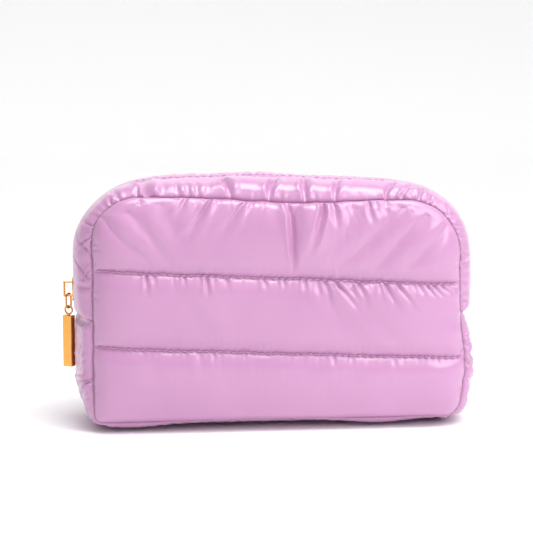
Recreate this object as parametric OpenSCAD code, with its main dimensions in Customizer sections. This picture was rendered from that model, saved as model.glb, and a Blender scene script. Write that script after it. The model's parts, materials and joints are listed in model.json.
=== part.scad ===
// Quilted makeup bag: a padded pouch whose zip runs over the top and part way down both ends.
// +Z is up, -Y is the front, +X is to the right. The origin is the middle of the base, on the surface it stands on.
// The upper part of each wall folds outwards along the upper quilt seam, which opens the mouth.

/* [Panels] */
// Half the width of the front and back panels, at their seams
panel_half_w = 106; // [95:1:125]
// Height of the panels' top seam
panel_top_z = 134; // [125:1:150]
// Height of the panels' bottom seam
panel_bottom_z = 6.5; // [6:0.1:7]
// Distance from the middle of the bag to each panel's seam
seam_y = 30; // [29:0.5:34]
// Radius of the panels' top corners
top_corner_r = 32; // [28:1:36]
// Radius of the panels' bottom corners
bottom_corner_r = 12; // [11:1:15]

/* [Quilting] */
// Height of the lower quilt seam
lower_quilt_z = 45.5; // [40:0.5:48]
// Height of the upper quilt seam, where the walls fold
fold_z = 88; // [87:0.5:90]
// How far a padded channel stands out from its seams
channel_puff = 8; // [6:0.5:9]
// How far the zip gusset stands out from its seams
gusset_puff = 5; // [4.5:0.5:6]
// How far the base gusset stands out from its seams
base_puff = 7.2; // [7:0.1:8]

/* [Layers] */
// Thickness of the shell fabric with its backing
shell_t = 0.8; // [0.7:0.1:1]
// Thickness of the lining
lining_t = 0.6; // [0.4:0.1:0.6]
// Thickness of the zip tape
tape_t = 0.6; // [0.4:0.1:0.6]

/* [Zip] */
// Height of the cross seams, where the zip gusset ends
cross_seam_z = 68; // [66:0.5:70]
// Height of the slider's middle, at its stops
slider_z = 79.4; // [79:0.1:80]
// Length of the slider
slider_len = 13; // [12:0.5:13]
// Width of the slider at its shoulders
slider_w = 9.2; // [8:0.1:9.6]

/* [Pull] */
// Length of the bar on the pull
bar_len = 30; // [24:1:32]
// Width of the bar
bar_w = 6; // [5:0.5:6]
// Thickness of the bar
bar_t = 4.4; // [3:0.1:4.6]

/* [Hidden] */
$fn = 96;

PINK = [0.87, 0.66, 0.83];
LINING = [0.80, 0.60, 0.76];
WADDING = [0.96, 0.96, 0.95];
TAPE = [0.83, 0.60, 0.77];
GOLD = [0.86, 0.62, 0.30];

gap = 0.05;              // between two layers that lie on each other
fold_gap = 0.4;          // between the parts above and below the fold
seam_gap = 0.2;          // between parts that meet at a cross seam
far = 400;               // longer than any part of the bag
weld = 0.3;              // how far neighbouring channels run into each other at their seam

// Across a gusset, 2D points are [outwards from the panel's edge, along Y].
gusset_root_v = 0.9;     // where the gusset's padding starts, at the panel's seam
zip_edge_v = 8.4;          // the same, at the zip
zip_edge_y = 6.2;        // half the width of the slot for the zip
tape_outer_y = 13;       // how far the tape runs in under the gusset
tape_inner_y = 1;        // the tape's own edge, under the coil
inner_y = seam_y - 0.8;  // inside the panel's lining
lining_drop = 0.75;      // from the padding's flat side to the gusset's lining
binding_w = 8;
binding_t = 1.8;
coil_gap = 0.45;         // half the slot between the two coils
coil_w = 2.6;
coil_h = 1.2;

// The panels' padding is thickest here, and thins towards the ends of each channel
pillow_half_w = panel_half_w - 20;
pillow_d = channel_puff + 0.5;

// The pull hangs from the lower leg of the slider's bridge.
plate_v = [5.9, 10.4];     // where the slider's inner and outer plates start, from inside
plate_t = 1.2;
bridge_r = 0.65;
bridge_half = 4;         // half the distance between the bridge's legs
bridge_v = 16.2;         // the bridge's outer bar
wire_r = 0.55;
link_r = 1.95;           // to the middle of the link's wire
link_len = 4.6;
link_turn = 45;          // the link's plane, turned about the vertical
link_v = 13.9;
eyelet_r = 2.35;
eyelet_wire_r = 0.55;
hang_gap = 0.1;          // between two rings that hang on each other
bar_turn = 30;           // the bar, turned about the vertical
bar_edge = 0.35;

stop_gap = 0.3;
stop_h = 1.4;
stop_v = 1;              // how far a stop stands out of the tape
stop_top_z = slider_z - slider_len / 2 - stop_gap;
leg_z = slider_z - bridge_half;
link_top_z = leg_z + bridge_r + hang_gap + wire_r;
link_bottom_z = link_top_z - 2 * link_r - link_len;
eyelet_z = link_bottom_z + wire_r + hang_gap + eyelet_wire_r - eyelet_r;
neck_h = 0.3;             // between the eyelet and the bar
bar_top_z = eyelet_z - eyelet_r - eyelet_wire_r - neck_h;
link_x = -panel_half_w - link_v;

// ---- Layouts ----

function unit(p) = p / norm(p);
function lerp(a, b, k) = a + (b - a) * k;
// The radius of an arc over chord c with rise s
function arc_r(c, s) = c * c / (8 * s) + s / 2;

// What lies above height z
module above(z) {
    intersection() {
        children();
        translate([-far / 2, -far / 2, z]) cube(far);
    }
}

// What lies below height z
module below(z) {
    intersection() {
        children();
        translate([-far / 2, -far / 2, z - far]) cube(far);
    }
}

// The same part on the back of the bag
module on_back() {
    mirror([0, 1, 0]) children();
}

// A quarter turn of a gusset round a corner, from turn degrees about +Y
module gusset_corner(x, z, r, turn) {
    translate([x, 0, z]) rotate([-90, 0, 0]) rotate([0, 0, turn])
        rotate_extrude(angle = 90) translate([r, 0]) children();
}

// An upright length of gusset at each end
module gusset_ends(z0, z1) {
    translate([panel_half_w, 0, z0]) linear_extrude(z1 - z0) children();
    translate([-panel_half_w, 0, z0]) linear_extrude(z1 - z0) mirror([1, 0]) children();
}

// A gusset from the fold, over the top and down to the fold again
module over_the_top() {
    side = panel_half_w - top_corner_r;
    corner_z = panel_top_z - top_corner_r;
    gusset_ends(fold_z + fold_gap / 2, corner_z) children();
    gusset_corner(side, corner_z, top_corner_r, -90) children();
    gusset_corner(-side, corner_z, top_corner_r, 180) children();
    translate([side, 0, panel_top_z]) rotate([0, -90, 0]) linear_extrude(2 * side) children();
}

// A gusset from one end at height top, under the base and up the other end
module under_the_base(top) {
    side = panel_half_w - bottom_corner_r;
    corner_z = panel_bottom_z + bottom_corner_r;
    gusset_ends(corner_z, top) children();
    gusset_corner(side, corner_z, bottom_corner_r, 0) children();
    gusset_corner(-side, corner_z, bottom_corner_r, 90) children();
    translate([-side, 0, panel_bottom_z]) rotate([0, 90, 0]) linear_extrude(2 * side) children();
}

// ---- Panels ----

// The panel's outline, taken in by inset
module panel_outline(inset) {
    w = panel_half_w - inset;
    low = panel_bottom_z + inset;
    high = panel_top_z - inset;
    rb = bottom_corner_r - inset;
    rt = top_corner_r - inset;
    translate([-w, low + rb]) square([2 * w, high - rt - low - rb]);
    translate([rb - w, low]) square([2 * (w - rb), rb * 2]);
    translate([rt - w, high - rt * 2]) square([2 * (w - rt), rt * 2]);
    for (side = [-1, 1]) {
        translate([side * (w - rb), low + rb]) circle(rb);
        translate([side * (w - rt), high - rt]) circle(rt);
    }
}

// A slab in the panel's outline, from depth y0 outwards to y1
module panel_slab(inset, y0, y1) {
    translate([0, -y0, 0]) rotate([90, 0, 0]) linear_extrude(y1 - y0) panel_outline(inset);
}

// The plan view of a padded channel: full depth along the middle, thinning to the ends
module pillow_plan(inset) {
    rise = pillow_d - inset;
    run = panel_half_w - pillow_half_w;
    r = arc_r(2 * run, pillow_d);
    translate([-pillow_half_w, -rise]) square([2 * pillow_half_w, rise + 1]);
    for (side = [-1, 1]) intersection() {
        translate([side * pillow_half_w, r - pillow_d]) circle(r - inset);
        translate([-panel_half_w, -pillow_d]) square([2 * panel_half_w, pillow_d + 1]);
    }
}

// A padded channel from z0 to z1, with inset taken off its outer face. Its flat side stands at d0 from the seams.
module channel(z0, z1, inset, d0) {
    r = arc_r(z1 - z0, channel_puff);
    intersection() {
        translate([far / 2, -seam_y, 0]) rotate([90, 0, -90]) linear_extrude(far) intersection() {
            translate([channel_puff - r, (z0 + z1) / 2]) circle(r - inset);
            translate([d0, z0 - weld]) square([channel_puff, z1 - z0 + 2 * weld]);
        }
        translate([0, -seam_y, 0]) linear_extrude(far) pillow_plan(inset);
        panel_slab(gap + inset, seam_y - 1, seam_y + channel_puff + 1);
    }
}

// The shell of the channels between the heights in seams
module channels_shell(seams) {
    color(PINK) difference() {
        for (k = [0 : len(seams) - 2]) channel(seams[k] - weld, seams[k + 1] + weld, 0, 0);
        for (k = [0 : len(seams) - 2]) channel(seams[k] - weld, seams[k + 1] + weld, shell_t, -0.5);
    }
}

module channel_wadding(z0, z1) {
    color(WADDING) channel(z0 - weld, z1 + weld, shell_t + gap, gap);
}

module panel_lining() {
    color(LINING) panel_slab(gap, seam_y - gap - lining_t, seam_y - gap);
}

module shell_lower() {
    below(fold_z - fold_gap / 2) channels_shell([panel_bottom_z, lower_quilt_z, fold_z]);
}

module shell_upper() {
    above(fold_z + fold_gap / 2) channels_shell([fold_z, panel_top_z]);
}

module wadding_lower() {
    channel_wadding(panel_bottom_z, lower_quilt_z);
}

module wadding_middle() {
    below(fold_z - fold_gap / 2) channel_wadding(lower_quilt_z, fold_z);
}

module wadding_upper() {
    above(fold_z + fold_gap / 2) channel_wadding(fold_z, panel_top_z);
}

module lining_lower() {
    below(fold_z - fold_gap / 2) panel_lining();
}

module lining_upper() {
    above(fold_z + fold_gap / 2) panel_lining();
}

// ---- Zip gusset: 2D outlines of its front half ----

strip_a = [gusset_root_v, -seam_y];
strip_b = [zip_edge_v, -zip_edge_y];
strip_out = unit([strip_b[1] - strip_a[1], strip_a[0] - strip_b[0]]);
strip_r = arc_r(norm(strip_b - strip_a), gusset_puff);
strip_centre = (strip_a + strip_b) / 2 + strip_out * (gusset_puff - strip_r);

// How far out the padding's flat side lies at depth y
function flat_v(y) = lerp(gusset_root_v, zip_edge_v, (y + seam_y) / (seam_y - zip_edge_y));

// The space over the padding's flat side, raised by lift
module strip_window(lift) {
    past = unit(strip_b - strip_a);
    a = strip_a - past + strip_out * lift;
    b = strip_b + past + strip_out * lift;
    polygon([a, b, b + strip_out * 2 * gusset_puff, a + strip_out * 2 * gusset_puff]);
}

// The strip's outer arc is part of this circle. Its start point is turned away from the strip.
module strip_circle(inset) {
    translate(strip_centre) rotate([0, 0, 180]) circle(strip_r - inset);
}

module strip_shell_2d() {
    intersection() {
        strip_window(0);
        difference() {
            strip_circle(0);
            strip_circle(shell_t);
        }
    }
}

module strip_wadding_2d() {
    intersection() {
        strip_window(gap);
        strip_circle(shell_t + gap);
    }
}

module strip_lining_2d() {
    outer = [flat_v(-inner_y) - lining_drop, -inner_y];
    edge = [flat_v(-zip_edge_y) - lining_drop, -zip_edge_y];
    polygon([outer, edge, edge - [lining_t, 0], outer - [lining_t, 0]]);
}

module strip_tape_2d() {
    top = [for (y = [-tape_outer_y, -zip_edge_y, -tape_inner_y]) [flat_v(min(y, -zip_edge_y)) - gap, y]];
    polygon([each top, for (k = [2 : -1 : 0]) top[k] - [tape_t, 0]]);
}

module strip_coil_2d() {
    translate([zip_edge_v, -coil_gap - coil_w]) square([coil_h, coil_w]);
}

module binding_2d() {
    translate([-0.4 - binding_w, -inner_y]) square([binding_w, binding_t]);
}

// The same length of gusset on the front and the back
module front_and_back() {
    children();
    on_back() children();
}

// The short lengths of the zip gusset between the cross seams and the fold
module zip_ends() {
    front_and_back() gusset_ends(cross_seam_z + seam_gap, fold_z - fold_gap / 2) children();
}

// ---- Base gusset ----

base_r = arc_r(2 * seam_y, base_puff);

// The base gusset's outline, with inset taken off its outer face and its flat side raised by lift
module base_2d(inset, lift) {
    intersection() {
        translate([gusset_root_v + base_puff - base_r, 0]) circle(base_r - inset, $fn = 180);
        translate([gusset_root_v + lift, -seam_y]) square([base_puff, 2 * seam_y]);
    }
}

module base_gusset_shell() {
    color(PINK) difference() {
        above(0) under_the_base(cross_seam_z) base_2d(0, 0);
        above(shell_t) under_the_base(cross_seam_z + 1) base_2d(shell_t, -0.5);
    }
}

module base_gusset_wadding() {
    color(WADDING) above(shell_t + gap) under_the_base(cross_seam_z) base_2d(shell_t + gap, gap);
}

module base_gusset_lining() {
    color(LINING) under_the_base(cross_seam_z)
        translate([gusset_root_v - lining_t - gap, -inner_y]) square([lining_t, 2 * inner_y]);
}

module binding_lower() {
    color(LINING) under_the_base(fold_z - fold_gap / 2) binding_2d();
}

// ---- Zip ----

// A part given in the slider's own frame: x along the zip, y across it, z outwards, from the panel's edge
module at_slider() {
    translate([-panel_half_w, 0, slider_z]) rotate([0, -90, 0]) children();
}

// A slider plate seen from outside: wide shoulders at one end, where the tapes part, and narrower at the other
module plate_2d() {
    half = slider_len / 2;
    tail = slider_w * 0.38;
    polygon([[-half, -tail], [-half, tail], [0, slider_w / 2], [half - 1.5, slider_w / 2],
        [half, slider_w / 2 - 1.5], [half, 1.5 - slider_w / 2], [half - 1.5, -slider_w / 2], [0, -slider_w / 2]]);
}

// Two plates, the post that joins them and the outer plate's side walls. The shoulders point down, to the stops
module zip_slider() {
    post_half_w = coil_gap - 0.1;
    wall = 0.9;
    wall_v = zip_edge_v + 0.35;
    color(GOLD) at_slider() mirror([1, 0, 0]) {
        for (v = plate_v) translate([0, 0, v]) linear_extrude(plate_t) plate_2d();
        translate([slider_len / 2 - 4, -post_half_w, plate_v[0]])
            cube([3, 2 * post_half_w, plate_v[1] + plate_t - plate_v[0]]);
        translate([0, 0, wall_v]) linear_extrude(plate_v[1] - wall_v + plate_t / 2) difference() {
            plate_2d();
            square([slider_len + 1, 2 * (coil_gap + coil_w + 0.35)], center = true);
        }
    }
}

// A staple of round wire on the outer plate
module slider_bridge() {
    foot_v = plate_v[1] + plate_t;
    color(GOLD) at_slider() {
        for (x = [-bridge_half, bridge_half]) {
            translate([x, 0, foot_v]) cylinder(r = bridge_r, h = bridge_v - foot_v, $fn = 48);
            translate([x, 0, bridge_v]) sphere(bridge_r, $fn = 48);
        }
        translate([-bridge_half, 0, bridge_v]) rotate([0, 90, 0])
            cylinder(r = bridge_r, h = 2 * bridge_half, $fn = 48);
    }
}

// An oval ring of round wire that hangs on the bridge's lower leg
module pull_link() {
    color(GOLD) translate([link_x, 0, link_top_z - link_r]) rotate([0, 0, link_turn]) {
        for (side = [-1, 1])
            translate([side * link_r, 0, -link_len]) cylinder(r = wire_r, h = link_len, $fn = 48);
        rotate([90, 0, 0]) rotate_extrude(angle = 180) translate([link_r, 0]) circle(wire_r, $fn = 48);
        translate([0, 0, -link_len]) rotate([90, 0, 0]) rotate([0, 0, 180])
            rotate_extrude(angle = 180) translate([link_r, 0]) circle(wire_r, $fn = 48);
    }
}

// The round ring on top of the bar
module pull_eyelet() {
    color(GOLD) translate([link_x, 0, eyelet_z]) rotate([0, 0, -bar_turn]) {
        rotate([90, 0, 0]) rotate_extrude() translate([eyelet_r, 0]) circle(eyelet_wire_r, $fn = 48);
        translate([0, 0, bar_top_z - eyelet_z]) cylinder(r = 0.9, h = neck_h + eyelet_wire_r, $fn = 48);
    }
}

module pull_bar() {
    w = bar_w / 2;
    t = bar_t / 2;
    e = bar_edge;
    color(GOLD) translate([link_x, 0, bar_top_z - bar_len]) rotate([0, 0, -bar_turn])
        linear_extrude(bar_len) polygon([[e - w, -t], [w - e, -t], [w, e - t], [w, t - e],
            [w - e, t], [e - w, t], [-w, t - e], [-w, e - t]]);
}

// One small clamp on each tape, where the slider comes to rest
module zip_top_stops() {
    x = -panel_half_w - zip_edge_v - stop_v;
    color(GOLD) front_and_back() translate([x, -coil_gap - coil_w, stop_top_z - stop_h])
        cube([stop_v - gap, coil_w, stop_h]);
}

// One clamp across both coils, at the other end of the zip
module zip_bottom_stop() {
    color(GOLD) translate([panel_half_w + zip_edge_v + gap, -coil_gap - coil_w, stop_top_z - 2 * stop_h])
        cube([stop_v - gap, 2 * (coil_gap + coil_w), 2 * stop_h]);
}

// The coils start above their stops
module zip_end_coils() {
    color(TAPE) above(stop_top_z + gap) zip_ends() strip_coil_2d();
}

shell_lower();  // front_shell_lower
wadding_middle();  // front_wadding_middle
wadding_lower();  // front_wadding_lower
lining_lower();  // front_lining_lower
on_back() shell_lower();  // back_shell_lower
on_back() wadding_middle();  // back_wadding_middle
on_back() wadding_lower();  // back_wadding_lower
on_back() lining_lower();  // back_lining_lower
base_gusset_shell();
base_gusset_wadding();
base_gusset_lining();
binding_lower();  // front_binding_lower
on_back() binding_lower();  // back_binding_lower
color(PINK) zip_ends() strip_shell_2d();  // zip_end_shells
color(WADDING) zip_ends() strip_wadding_2d();  // zip_end_waddings
color(LINING) zip_ends() strip_lining_2d();  // zip_end_linings
color(TAPE) zip_ends() strip_tape_2d();  // zip_end_tapes
zip_end_coils();
zip_top_stops();
zip_bottom_stop();
shell_upper();  // front_shell_upper
wadding_upper();  // front_wadding_upper
lining_upper();  // front_lining_upper
color(LINING) over_the_top() binding_2d();  // front_binding_upper
color(PINK) over_the_top() strip_shell_2d();  // front_gusset_shell
color(WADDING) over_the_top() strip_wadding_2d();  // front_gusset_wadding
color(LINING) over_the_top() strip_lining_2d();  // front_gusset_lining
color(TAPE) over_the_top() strip_tape_2d();  // front_zip_tape
color(TAPE) over_the_top() strip_coil_2d();  // front_zip_coil
on_back() shell_upper();  // back_shell_upper
on_back() wadding_upper();  // back_wadding_upper
on_back() lining_upper();  // back_lining_upper
color(LINING) on_back() over_the_top() binding_2d();  // back_binding_upper
color(PINK) on_back() over_the_top() strip_shell_2d();  // back_gusset_shell
color(WADDING) on_back() over_the_top() strip_wadding_2d();  // back_gusset_wadding
color(LINING) on_back() over_the_top() strip_lining_2d();  // back_gusset_lining
color(TAPE) on_back() over_the_top() strip_tape_2d();  // back_zip_tape
color(TAPE) on_back() over_the_top() strip_coil_2d();  // back_zip_coil
zip_slider();
slider_bridge();
pull_link();
pull_eyelet();
pull_bar();
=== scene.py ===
# Looks for the quilted makeup bag: padded glossy fabric, lining, zip and pull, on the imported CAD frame.
import json
import math

import bpy
import numpy as np
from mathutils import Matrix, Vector


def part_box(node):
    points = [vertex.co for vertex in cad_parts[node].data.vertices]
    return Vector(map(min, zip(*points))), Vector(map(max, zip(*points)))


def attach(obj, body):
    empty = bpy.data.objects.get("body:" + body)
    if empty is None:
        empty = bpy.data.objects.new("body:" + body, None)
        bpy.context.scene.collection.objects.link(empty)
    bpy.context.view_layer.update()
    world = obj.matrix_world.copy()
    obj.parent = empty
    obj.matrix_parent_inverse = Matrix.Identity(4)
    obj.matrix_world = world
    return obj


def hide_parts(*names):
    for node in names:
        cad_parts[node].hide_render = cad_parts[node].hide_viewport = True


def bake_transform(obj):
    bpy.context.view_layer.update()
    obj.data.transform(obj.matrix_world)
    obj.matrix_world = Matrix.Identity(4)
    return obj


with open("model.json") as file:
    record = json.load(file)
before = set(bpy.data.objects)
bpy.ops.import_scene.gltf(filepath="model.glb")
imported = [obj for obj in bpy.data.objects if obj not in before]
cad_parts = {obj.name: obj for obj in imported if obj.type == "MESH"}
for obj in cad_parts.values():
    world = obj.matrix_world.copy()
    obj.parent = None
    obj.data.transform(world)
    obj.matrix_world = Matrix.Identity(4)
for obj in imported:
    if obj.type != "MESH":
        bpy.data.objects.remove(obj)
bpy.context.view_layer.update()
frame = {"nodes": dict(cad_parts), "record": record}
MM = 0.001

# ---- Sizes, in millimetres, from the frame ----


def box_mm(node):
    low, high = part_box(node)
    return np.array(low) / MM, np.array(high) / MM


# the panels' seams in the flat layout
BOTTOM_Z = box_mm("front_lining_lower")[0][2]
TOP_Z = box_mm("front_lining_upper")[1][2]
HALF_W = box_mm("front_lining_lower")[1][0]
SEAM_Y = -box_mm("front_shell_upper")[1][1]
LOWER_QUILT_Z = 45.5
FOLD_Z = 88.0  # the upper quilting, where the mouth folds

# the zip: its slot, its distance outside the panels' side seams, and where its coil and slider begin
CROSS_Z = box_mm("base_gusset_shell")[1][2]
COIL_RISE = 1.2
ZIP_V = box_mm("front_zip_coil")[1][0] - HALF_W - COIL_RISE
RIGHT_ZIP_V = ZIP_V - 3
SLOT_Y = 6.2
COIL_Z = box_mm("zip_end_coils")[0][2]
SLIDER_Z = (box_mm("zip_slider")[0][2] + box_mm("zip_slider")[1][2]) / 2

STEP = 0.9  # between the points of the panels' meshes
STITCH = 4.0

# the corner radii of the two panels: the back one slumps, so its shoulders are rounder
CORNERS = {-1: dict(left=27.0, right=30.0, left_foot=4.5, right_foot=9.0),
           1: dict(left=40.0, right=48.0, left_foot=7.0, right_foot=10.0)}
WORD = {-1: "front", 1: "back"}

# ---- Small maths ----


def smooth(a, b, x):
    t = np.clip((x - a) / (b - a), 0, 1)
    return t * t * (3 - 2 * t)


def bump(x, centre, width):
    return np.exp(-(((x - centre) / width) ** 2))


def noise(x, y, scale, seed):
    """Smooth noise between about -1 and 1, with features of the given size."""
    rng = np.random.default_rng(seed)
    total = np.zeros(np.broadcast(x, y).shape)
    waves = 9
    for _ in range(waves):
        angle = rng.uniform(0, math.pi)
        pitch = scale * rng.uniform(0.7, 1.5)
        phase = rng.uniform(0, 2 * math.pi)
        total += np.sin(2 * math.pi * (x * math.cos(angle) + y * math.sin(angle)) / pitch + phase)
    return total / (waves / 2)


def unit(vectors):
    return vectors / np.maximum(np.linalg.norm(vectors, axis=-1, keepdims=True), 1e-9)


def lengths(path):
    """The distance along a polyline to each of its points."""
    return np.concatenate([[0], np.cumsum(np.linalg.norm(np.diff(path, axis=0), axis=1))])


def points_at(path, along, at):
    """The points of a polyline at some distances along it, where "along" is what lengths() gives for it."""
    return np.stack([np.interp(at, along, path[:, k]) for k in range(path.shape[1])], axis=1)


def resample(points, count):
    """The polyline through points, as count points an equal distance apart."""
    points = np.asarray(points, float)
    along = lengths(points)
    return points_at(points, along, np.linspace(0, along[-1], count))


def normals(grid):
    return unit(np.cross(np.gradient(grid, axis=1), np.gradient(grid, axis=0)))


def border(rows, cols):
    """A grid that is true along its four edges."""
    edge = np.zeros((rows, cols), bool)
    edge[0] = edge[-1] = True
    edge[:, 0] = edge[:, -1] = True
    return edge


def squared(value, power):
    """A sine or cosine pushed outwards, which turns a round section into a rounded square."""
    return math.copysign(abs(value) ** power, value)


# ---- The bag's seams ----


def right_edge(z):
    """The right-hand seam bulges outwards low down, where the bag slumps."""
    return HALF_W - 1.5 + 3.5 * bump(z, 40, 24)


def edge_distance(x, z, side):
    """How far a point of the panel's flat layout lies inside its outline."""
    corners = CORNERS[side]
    middle_z = (BOTTOM_Z + TOP_Z) / 2
    top, left = z > middle_z, x < 0
    radius = np.where(top, np.where(left, corners["left"], corners["right"]),
                      np.where(left, corners["left_foot"], corners["right_foot"]))
    beyond_x = np.abs(x) - HALF_W + radius
    beyond_z = np.abs(z - middle_z) - (TOP_Z - BOTTOM_Z) / 2 + radius
    outside = np.hypot(np.maximum(beyond_x, 0), np.maximum(beyond_z, 0))
    return radius - outside - np.minimum(np.maximum(beyond_x, beyond_z), 0)


def hang(x, z):
    """Where a point of the flat layout lies on the bag, which slumps a little to the right: (x, z)."""
    seams = [BOTTOM_Z, LOWER_QUILT_Z, FOLD_Z, TOP_Z]
    shift = np.interp(z, seams, [0, 0.5, 1.4, 0])
    slope = np.interp(z, seams, [0, -4.9, -5.4, -2.2])
    sag = -2.2 * bump(x, 12, 36) * smooth(FOLD_Z, TOP_Z, z)
    spread = 1 + (right_edge(z) / HALF_W - 1) * smooth(0, HALF_W, x)
    above_foot = smooth(BOTTOM_Z + 4, BOTTOM_Z + 14, z)
    pucker_x = 0.32 * noise(x, z, 13, 301) * above_foot
    pucker_z = 0.36 * noise(x, z, 12, 302) * above_foot
    return x * spread + pucker_x, z + shift + slope * x / HALF_W + sag + pucker_z


def hung(flat):
    """A line of the flat layout as it lies on the bag: (x, z)."""
    return np.stack(hang(flat[:, 0], flat[:, 1]), 1)


def unhang(x, z):
    """The flat layout's height that hangs at z."""
    reach = 12
    flat = np.linspace(z - reach, z + reach, 8 * reach + 1)
    return float(np.interp(z, hang(np.full_like(flat, x), flat)[1], flat))


# where the two cross seams meet the panels' side seams, in the flat layout
LEFT_CROSS = unhang(-HALF_W, CROSS_Z - 2)
RIGHT_CROSS = unhang(HALF_W, CROSS_Z - 1)

QUARTER = np.linspace(0, math.pi / 2, 40)


def line(a, b, count=60):
    return np.linspace(a, b, count)


def corner(centre, radii, from_side):
    """A quarter of an ellipse, which starts at its side, or else at its top or foot: (x, z)."""
    across, up = np.cos(QUARTER), np.sin(QUARTER)
    if not from_side:
        across, up = up, across
    return np.stack([centre[0] + radii[0] * across, centre[1] + radii[1] * up], 1)


def seam_legs(left, right, end_z, up):
    """Half of a panel's seam in the flat layout, from the left cross seam by way of end_z to the right one.
    left and right are its corner radii, and up is 1 over the top and -1 under the bag."""
    return [
        line((-HALF_W, LEFT_CROSS), (-HALF_W, end_z - up * left)),
        corner((left - HALF_W, end_z - up * left), (-left, up * left), True),
        line((left - HALF_W, end_z), (HALF_W - right, end_z), 120),
        corner((HALF_W - right, end_z - up * right), (right, up * right), False),
        line((HALF_W, end_z - up * right), (HALF_W, RIGHT_CROSS))]


def top_legs(side):
    return seam_legs(CORNERS[side]["left"], CORNERS[side]["right"], TOP_Z, 1)


def base_legs(side):
    return seam_legs(CORNERS[side]["left_foot"], CORNERS[side]["right_foot"], BOTTOM_Z, -1)


def zip_legs():
    """The zip's line, in as many legs as the panel's seam: (x, z)."""
    left, right = -(HALF_W + ZIP_V), HALF_W + RIGHT_ZIP_V
    lx, lz, l_top = -70.0, 101.0, 140.2
    rx, rz, r_top = 70.0, 97.0, 137.4
    x = np.linspace(lx, rx, 120)
    top = np.interp(x, [lx, rx], [l_top, r_top]) + 2.2 * bump(x, -6, 46)
    return [
        line((left, CROSS_Z), (left, lz)),
        corner((lx, lz), (left - lx, l_top - lz), True),
        np.stack([x, top], 1),
        corner((rx, rz), (right - rx, r_top - rz), False),
        line((right, rz), (right, CROSS_Z))]


def run_of(legs, counts):
    """One polyline through the legs, each resampled to its own count of steps."""
    parts = [resample(leg, n + 1)[:-1] for leg, n in zip(legs, counts)]
    return np.concatenate(parts + [legs[-1][-1:]])


# how many steps each leg has, along the zip gusset and the base gusset
STRIP_STEPS = [44, 52, 150, 60, 34]
BASE_STEPS = [60, 8, 190, 14, 58]
ZIP_LINE = run_of(zip_legs(), STRIP_STEPS)


def in_plane(path, y):
    """A line of (x, z) points, set up at the depth y."""
    return np.stack([path[:, 0], np.full(len(path), y), path[:, 1]], 1)


def outwards(path):
    """The outward normals of a line that runs clockwise in x and z."""
    forward = unit(np.gradient(path, axis=0))
    return np.stack([-forward[:, 1], forward[:, 0]], 1)


def sheet_between(a, b, rows):
    """A sheet from the line a to the line b, and the share of the way across of each row, from 0 to 1."""
    share = np.linspace(0, 1, rows)[:, None]
    return a[None] * (1 - share[..., None]) + b[None] * share[..., None], share


# ---- Creases ----


def crease(height, along, away, at, length, width, depth, lean=0.0, fan=1.0, ridge=0.5, skew=0.0, curl=0.0):
    """Presses one crease into height: it starts on a seam at the point "at", runs "length" away and leans.
    fan above 1 widens it away from the seam, and below 1 narrows it. skew sharpens its lower-numbered side,
    and curl bends it."""
    far = np.clip(away / length, 0, 1)
    middle = at + lean * away + curl * far * far * length
    wide = width * (1 + (fan - 1) * far)
    off = (along - middle) / np.maximum(wide, 0.05)
    if skew:
        off = np.where(off < 0, off * (1 + skew), off)
    strength = smooth(0, 1.2, away) * (1 - far) ** 0.9 * (away < length)
    valley = -np.exp(-np.abs(off) ** 1.25 * 1.7)
    ridges = ridge * (np.exp(-((off - 1.5) ** 2) / 0.5) + np.exp(-((off + 1.5) ** 2) / 0.5))
    height += depth * strength * (valley + ridges)


def fold_row(height, along, away, folds, **look):
    """Creases along one seam. Each fold is (at, length, width, depth, lean), as in crease(), or longer."""
    for fold in folds:
        crease(height, along, away, *fold, **look)


def gathers(height, along, away, span, spacing, seed, length, width, depth, lean=0.5):
    """A row of small creases along a seam, at random. length, width and depth are ranges."""
    rng = np.random.default_rng(seed)
    at = span[0]
    while at < span[1]:
        at += spacing * rng.uniform(0.35, 1.7)
        crease(height, along, away, at, rng.uniform(*length), rng.uniform(*width), rng.uniform(*depth),
               rng.uniform(-lean, lean), rng.uniform(1.0, 1.8), rng.uniform(0.3, 0.8))


# ---- Cloth ----


def cloth_links(rows, cols, gather):
    """What ties a sheet's points together: (points, their partners, how firmly, the fabric to spare).
    In each set a point comes up once at most on either side, so a set can be worked out in one go."""
    links = []
    stiff = 3  # the reach of the links that resist bending
    kinds = ((1, 0, 1.0), (0, 1, 1.0), (1, 1, 0.4), (1, -1, 0.4), (stiff, 0, 0.3), (0, stiff, 0.3))
    for du, dv, firmness in kinds:
        span = max(du, abs(dv))
        for phase in (0, 1):
            if dv == 0:
                at = np.arange(cols - span)
                at = at[(at // span) % 2 == phase]
                links.append(((slice(None), at), (slice(None), at + span), firmness, gather))
            elif du == 0:
                at = np.arange(rows - span)
                at = at[(at // span) % 2 == phase]
                links.append(((at, slice(None)), (at + span, slice(None)), firmness, 0.0))
            else:
                at = np.arange(phase, rows - 1, 2)
                near, far = (at, at + 1) if dv > 0 else (at + 1, at)
                links.append(((near, slice(0, -1)), (far, slice(1, None)), firmness, gather / 2))
    return links


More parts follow.
